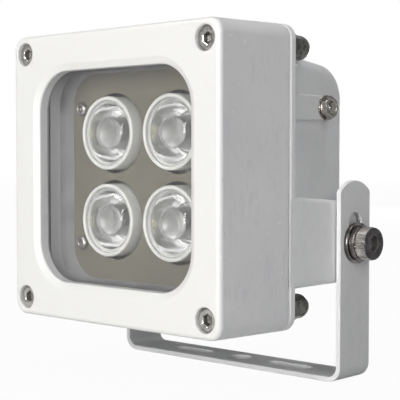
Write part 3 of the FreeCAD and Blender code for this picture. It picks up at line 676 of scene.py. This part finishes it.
def flat_washer(side, sign):
    """Stamped washer, rounder on its outer face."""
    node = "flat_washer_" + side
    start, outer, thick = washer_room(node, sign)
    hole = WASHER_HOLE
    steps = [
        (hole, 0.1), (hole + 0.1, 0.0), (outer, 0.0, 0.25), (outer, thick, 0.45),
        (hole + 0.2, thick), (hole, thick - 0.2),
    ]
    washer = Turning(start, RIGHT * sign, WASHER_SEGMENTS).add(eased(steps)).looped()
    settle("washer_" + side, washer.mesh, "pivots", ("washer_steel",), node)


SPLIT_CUTS = 88
SPLIT_PLACE = math.radians(70)
SPLIT_GAP = math.radians(8)
SPLIT_SLANT = math.radians(12)
WIRE_EASE = 0.22


def spring_washer(side, sign):
    """Split ring of square wire, its ends cut on a slant."""
    node = "spring_washer_" + side
    start, outer, thick = washer_room(node, sign)
    hole = WASHER_HOLE
    ease = WIRE_EASE
    section = [
        (hole + ease, 0), (outer - ease, 0), (outer, ease), (outer, thick - ease),
        (outer - ease, thick), (hole + ease, thick), (hole, thick - ease), (hole, ease),
    ]
    mesh = bmesh.new()
    loops = []
    for i in range(SPLIT_CUTS + 1):
        along = SPLIT_PLACE + SPLIT_GAP / 2 + (2 * math.pi - SPLIT_GAP) * i / SPLIT_CUTS
        loop = []
        for radius, height in section:
            angle = along + SPLIT_SLANT * (height / thick - 0.5)
            spot = start + Vector((sign * height, radius * math.sin(angle), radius * math.cos(angle)))
            loop.append(mesh.verts.new(spot * MM))
        if loops:
            for j in range(len(section)):
                k = (j + 1) % len(section)
                mesh.faces.new((loops[-1][j], loops[-1][k], loop[k], loop[j]))
        loops.append(loop)
    mesh.faces.new(loops[0])
    mesh.faces.new(loops[-1])
    settle("split_washer_" + side, mesh, "pivots", ("washer_steel",), node)


for side, sign in SIDES.items():
    pivot_bolt(side, sign)
    flat_washer(side, sign)
    spring_washer(side, sign)


# Corner screws, washers and dome nuts

SCREW_FINISHES = ("bright_steel", "socket_painted_shade")
# Place in SCREW_FINISHES
SOCKET = 1

SCREW_HEAD = 4.25
SCREW_HEAD_HEIGHT = 5.0
SCREW_SOCKET = hexagon(4.0)
SCREW_SOCKET_DEPTH = 2.5
SCREW_SHANK = 2.5
SCREW_PITCH = 0.8
SCREW_THREAD = 16.5
NUT_WASHER = 6.0
NUT_WASHER_HOLE = 2.75
NUT_FLATS = 10.0
NUT_BLIND = 9.0
NUT_DOME = 4.8
NUT_HEX_HEIGHT = 6.5
NUT_SHARP = 15


def corner_screw(place, x, z):
    """Long socket-head screw, sunk in its counterbore."""
    low, high = span("corner_screws")
    tip = high.y - low.y
    seat = SCREW_HEAD_HEIGHT
    depth = SCREW_SOCKET_DEPTH
    screw = Turning((x, low.y, z), BACK, SCREW_SEGMENTS)
    screw.add([(circle(0), depth + 0.6), (SCREW_SOCKET, depth), (SCREW_SOCKET, 0.3)], SOCKET)
    screw.add(eased([(2.65, 0.0), (SCREW_HEAD, 0.0, 0.7), (SCREW_HEAD, 1.2)]))
    screw.add(eased([(SCREW_HEAD, seat, 0.3), (SCREW_SHANK, seat)]))
    screw.add(eased([(SCREW_SHANK, tip - SCREW_THREAD - 0.5)]))
    screw.add(threaded(SCREW_SHANK, SCREW_PITCH, tip - SCREW_THREAD, tip - 0.6))
    screw.add(eased([(SCREW_SHANK - 0.6, tip), (0, tip)]))
    name = "long_screw_" + place
    settle(name, screw.mesh, "lamp", SCREW_FINISHES, "corner_screws")


def corner_washer(place, x, z):
    """Plain washer between the flange and the nut."""
    low, high = span("corner_washers")
    thick = high.y - low.y
    hole = NUT_WASHER_HOLE
    steps = [(hole, 0.0), (NUT_WASHER, 0.0, 0.2), (NUT_WASHER, thick, 0.35), (hole, thick)]
    washer = Turning((x, low.y, z), BACK, SMALL_SEGMENTS).add(eased(steps)).looped()
    name = "nut_washer_" + place
    settle(name, washer.mesh, "lamp", ("nut_steel",), "corner_washers")


def dome_nut(place, x, z):
    """Dome nut: chamfered hexagon, short neck and round cap over a blind thread."""
    low, high = span("corner_nuts")
    neck = high.y - low.y - NUT_DOME
    bore = circle(SCREW_SHANK)
    hexed = hexagon(NUT_FLATS)
    top = NUT_HEX_HEIGHT
    nut = Turning((x, low.y, z), BACK, SMALL_SEGMENTS)
    nut.add([(circle(0), NUT_BLIND + 0.6), (bore, NUT_BLIND), (bore, 0.4), (circle(2.9), 0.0)])
    nut.add([(circle(4.7), 0.0), (hexagon(NUT_FLATS, 5.25), 0.25), (hexed, 0.6)])
    nut.add([(hexed, top - 0.7), (hexagon(NUT_FLATS, 5.2), top - 0.25)])
    nut.add(eased([(4.95, top), (NUT_DOME, top + 0.1), (NUT_DOME, neck - 0.02)]))
    nut.add(cap(NUT_DOME, neck, NUT_DOME))
    name = "dome_nut_" + place
    settle(name, nut.mesh, "lamp", ("nut_steel",), "corner_nuts", NUT_SHARP)


for place, (x, z) in zip(LENS_PLACES, corners_of("corner_screws", SCREW_HEAD)):
    corner_screw(place, x, z)
    corner_washer(place, x, z)
    dome_nut(place, x, z)


# Earth stud

EARTH_FLATS = 8.0
EARTH_CHAMFER = 4.2
EARTH_FACE = 3.9
EARTH_THREAD = 2.5
EARTH_PITCH = 0.8
EARTH_WASHER = 5.0


def earth_pieces():
    """Washer, thin nut and the end of the stud on the side boss."""
    low, high = span("earth_nut")
    y = (low.y + high.y) / 2
    z = (low.z + high.z) / 2
    thick = high.x - low.x
    bore = circle(EARTH_THREAD)
    face = circle(EARTH_FACE)
    hexed = hexagon(EARTH_FLATS)
    chamfered = hexagon(EARTH_FLATS, EARTH_CHAMFER)
    nut = Turning((low.x, y, z), RIGHT, SMALL_SEGMENTS)
    nut.add([(bore, 0.0), (face, 0.0), (chamfered, 0.15), (hexed, 0.4)])
    nut.add([(hexed, thick - 0.4), (chamfered, thick - 0.15), (face, thick)])
    nut.add([(circle(2.85), thick), (bore, thick - 0.35)]).looped()
    settle("thin_nut", nut.mesh, "lamp", ("earth_steel",), "earth_nut", NUT_SHARP)

    low, high = span("earth_washer")
    thick = high.x - low.x
    hole = EARTH_THREAD + 0.05
    steps = [(hole, 0.0), (EARTH_WASHER, 0.0, 0.12), (EARTH_WASHER, thick, 0.2), (hole, thick)]
    washer = Turning((low.x, y, z), RIGHT, SMALL_SEGMENTS).add(eased(steps)).looped()
    settle("thin_washer", washer.mesh, "lamp", ("earth_steel",), "earth_washer")

    low, high = span("earth_stud")
    length = high.x - low.x
    stud = Turning((low.x, y, z), RIGHT, SMALL_SEGMENTS)
    stud.add(eased([(0, 0), (2.3, 0), (EARTH_THREAD, 0.2), (EARTH_THREAD, 1.0)]))
    stud.add(threaded(EARTH_THREAD, EARTH_PITCH, 1.2, length - 0.5))
    stud.add(eased([(2.0, length), (0, length)]))
    settle("stud", stud.mesh, "lamp", ("earth_steel",), "earth_stud")


earth_pieces()


# Mask screws

MASK_SCREW_HEAD = 2.8
MASK_SCREW_SHANK = 1.5
MASK_SCREW_PITCH = 0.5
MASK_SCREW_SOCKET = hexagon(2.0)


def mask_screw(place, x, z):
    """Small socket screw with a rounded head."""
    low, high = span("mask_screws")
    tip = high.y - low.y
    head = MASK_SCREW_HEAD
    shank = MASK_SCREW_SHANK
    screw = Turning((x, low.y, z), BACK, SMALL_SEGMENTS)
    screw.add([(circle(0), 1.6), (MASK_SCREW_SOCKET, 1.2), (MASK_SCREW_SOCKET, 0.15)], SOCKET)
    screw.add(eased([(1.3, 0.0), (2.1, 0.0, 0.3), (head, 0.75, 0.4), (head, 1.9, 0.15), (shank, 2.1)]))
    screw.add(threaded(shank, MASK_SCREW_PITCH, 2.2, tip - 0.3))
    screw.add(eased([(1.1, tip), (0, tip)]))
    name = "mask_screw_" + place
    settle(name, screw.mesh, "lamp", SCREW_FINISHES, "mask_screws")


for place, (x, z) in zip(LENS_PLACES, corners_of("mask_screws", MASK_SCREW_HEAD)):
    mask_screw(place, x, z)


# Lens holders and lenses

LENS_FINISHES = ("acrylic", "acrylic_back", "acrylic_pocket", "acrylic_frosted")
# Places in LENS_FINISHES
BACK_SIDE = 1
POCKET_SIDE = 2
FROSTED = 3

RIM_SEAT = 12.9
HOLDER_BORE = 11.9
SEAT_DEPTH = 2.2
LIP_ROUND = 0.85
LENS_RIM = 12.8
LENS_RIM_THICK = 1.2
DOME_FOOT = 11.5
LENS_TAIL = 6.1
POCKET = 4.9
POCKET_TOP = 11.8
SIDE_RINGS = 16
SIDE_CURVE = 0.72
LENS_SHARP = 40


def lens_holder(place):
    """White barrel with a thick rounded lip and a stepped seat for the lens."""
    node = "lens_holder_" + place
    low, high = span(node)
    outer = (high.x - low.x) / 2
    tall = high.y - low.y
    seat = tall - SEAT_DEPTH
    steps = [
        (HOLDER_BORE, 0.0), (outer - 0.3, 0.0), (outer, 0.3), (outer, tall, LIP_ROUND),
        (RIM_SEAT, tall, LIP_ROUND), (RIM_SEAT, seat), (HOLDER_BORE, seat, 0.2),
    ]
    middle = ((low.x + high.x) / 2, high.y, (low.z + high.z) / 2)
    barrel = Turning(middle, FRONT, LENS_SEGMENTS).add(eased(steps, 8)).looped()
    name = "barrel_" + place
    settle(name, barrel.mesh, "lamp", ("holder_white",), node, LENS_SHARP)


def lens(place):
    """Clear lens: flange with a raised ring, domed front, curved side, pocket over the emitter."""
    holder_low, holder_high = span("lens_holder_" + place)
    base = holder_high.y
    node = "lens_" + place
    low, high = span(node)
    tall = base - low.y
    seat = base - holder_low.y - SEAT_DEPTH
    rim_top = seat + LENS_RIM_THICK
    foot = base - high.y
    side_foot = foot + 0.4
    shape = Turning(((low.x + high.x) / 2, base, (low.z + high.z) / 2), FRONT, LENS_SEGMENTS)
    bulge = cap(POCKET, POCKET_TOP, 1.0)
    shape.add([(outline, 2 * POCKET_TOP - height) for outline, height in reversed(bulge)], POCKET_SIDE)
    shape.add(eased([
        (POCKET + 0.15, side_foot), (POCKET + 0.5, foot), (LENS_TAIL, foot, 0.2),
        (LENS_TAIL + 0.2, side_foot),
    ]), BACK_SIDE)
    for i in range(1, SIDE_RINGS):
        t = i / SIDE_RINGS
        radius = LENS_TAIL + (HOLDER_BORE - 0.3 - LENS_TAIL) * t ** SIDE_CURVE
        shape.add([(circle(radius), side_foot + (seat - side_foot) * t)], BACK_SIDE)
    shape.add(eased([
        (HOLDER_BORE - 0.2, seat), (LENS_RIM, seat, 0.15), (LENS_RIM, rim_top, 0.3),
        (DOME_FOOT + 0.7, rim_top, 0.4), (DOME_FOOT + 0.35, rim_top - 0.6, 0.15),
        (DOME_FOOT, rim_top - 0.5),
    ]), FROSTED)
    shape.add(cap(DOME_FOOT, rim_top - 0.4, tall - rim_top + 0.4, 20))
    name = "moulded_lens_" + place
    settle(name, shape.mesh, "lamp", LENS_FINISHES, node, LENS_SHARP)


for place in LENS_PLACES:
    lens_holder(place)
    lens(place)


# Floor, lights and camera

FLOOR_HALF = 6.0
FLOOR_WHITE = 0.96
FLOOR_PAPER = seen(215)
SOFT_SKY = (0.94, 0.97, 1.0, 1.0)
SOFT_SKY_STRENGTH = 0.09
PURE_WHITE = {"Color": (1, 1, 1, 1), "Strength": 1.0}
LAMP_MIDDLE = Vector((0.0, -0.04, 0.08))


def studio_floor():
    """Wide pale sheet, seen as near white with a soft shadow. It fades into the backdrop far behind."""
    half = FLOOR_HALF
    mesh = bpy.data.meshes.new("floor")
    corners = [(-half, -half, 0), (half, -half, 0), (half, half, 0), (-half, half, 0)]
    mesh.from_pydata(corners, [], [(0, 1, 2, 3)])
    floor = bpy.data.objects.new("floor", mesh)
    bpy.context.scene.collection.objects.link(floor)
    paper = Finish("floor_paper", FLOOR_PAPER, roughness=0.9)
    white = paper.node("ShaderNodeEmission", None, PURE_WHITE)
    away = paper.node("ShaderNodeVectorMath", {"operation": "LENGTH"}, {0: paper.spot()}, output="Value")
    whiteness = FLOOR_WHITE + (1 - FLOOR_WHITE) * away.above(0.6, 4.0)
    paper.gives_way(paper.looked_at() * whiteness, white)
    mesh.materials.append(paper.material)


def studio_world():
    """White backdrop to look at, softer light to fall on the lamp."""
    world = bpy.data.worlds.new("studio")
    world.use_nodes = True
    bpy.context.scene.world = world
    world.node_tree.nodes.clear()
    sky = Workings(world.node_tree)
    soft = sky.node("ShaderNodeBackground", None, {"Color": SOFT_SKY, "Strength": SOFT_SKY_STRENGTH})
    white = sky.node("ShaderNodeBackground", None, PURE_WHITE)
    mixed = sky.node("ShaderNodeMixShader", None, {0: sky.looked_at(), 1: soft, 2: white})
    output = world.node_tree.nodes.new("ShaderNodeOutputWorld")
    sky.join(mixed, output.inputs["Surface"])


def softbox(name, place, width, height, power, turn=0, shades=True):
    """Rectangular light aimed at the lamp. One that doesn't shade only shows in gloss."""
    light = bpy.data.lights.new(name, "AREA")
    light.shape = "RECTANGLE"
    light.size = width
    light.size_y = height
    light.energy = power
    lamp = bpy.data.objects.new(name, light)
    lamp.location = place
    lamp.rotation_mode = "QUATERNION"
    roll = Quaternion((0, 0, 1), math.radians(turn))
    lamp.rotation_quaternion = (LAMP_MIDDLE - Vector(place)).to_track_quat("-Z", "Y") @ roll
    lamp.visible_diffuse = shades
    lamp.visible_camera = False
    bpy.context.scene.collection.objects.link(lamp)


EYE = Vector((0.30771, -0.36006, 0.08819))
YAW = math.radians(42.558)
PITCH = math.radians(2.316)
LENS_LENGTH = 100.22
SENSOR_WIDTH = 36.0


def photo_camera():
    """Camera where the photo was taken from, worked out from the edges of the square face."""
    data = bpy.data.cameras.new("camera")
    data.lens = LENS_LENGTH
    data.sensor_width = SENSOR_WIDTH
    data.clip_start = 0.01
    data.clip_end = 50.0
    camera = bpy.data.objects.new("camera", data)
    camera.location = EYE
    level = math.cos(PITCH)
    ahead = Vector((-math.sin(YAW) * level, math.cos(YAW) * level, -math.sin(PITCH)))
    camera.rotation_mode = "QUATERNION"
    camera.rotation_quaternion = ahead.to_track_quat("-Z", "Y")
    bpy.context.scene.collection.objects.link(camera)
    bpy.context.scene.camera = camera


studio_floor()
studio_world()
softbox("key", (0.21, -1.52, 0.24), 0.12, 0.9, 18.9)
softbox("side_fill", (1.2, -0.72, 0.6), 0.5, 0.9, 3.8)
softbox("above", (0.2, 0.0, 1.45), 0.6, 0.6, 6.4)
softbox("back_fill", (-0.75, 1.2, 0.12), 0.8, 0.3, 4.0)
softbox("long_gleam", (-0.42, -0.92, 1.05), 0.9, 0.12, 6.0, turn=-2, shades=False)
softbox("short_gleam", (-0.46, -0.74, 1.15), 0.7, 0.12, 5.0, turn=-2, shades=False)
softbox("upright_gleam", (0.68, -1.3, 0.14), 0.1, 0.5, 9.0, shades=False)
photo_camera()
bpy.context.scene.view_settings.view_transform = "Standard"
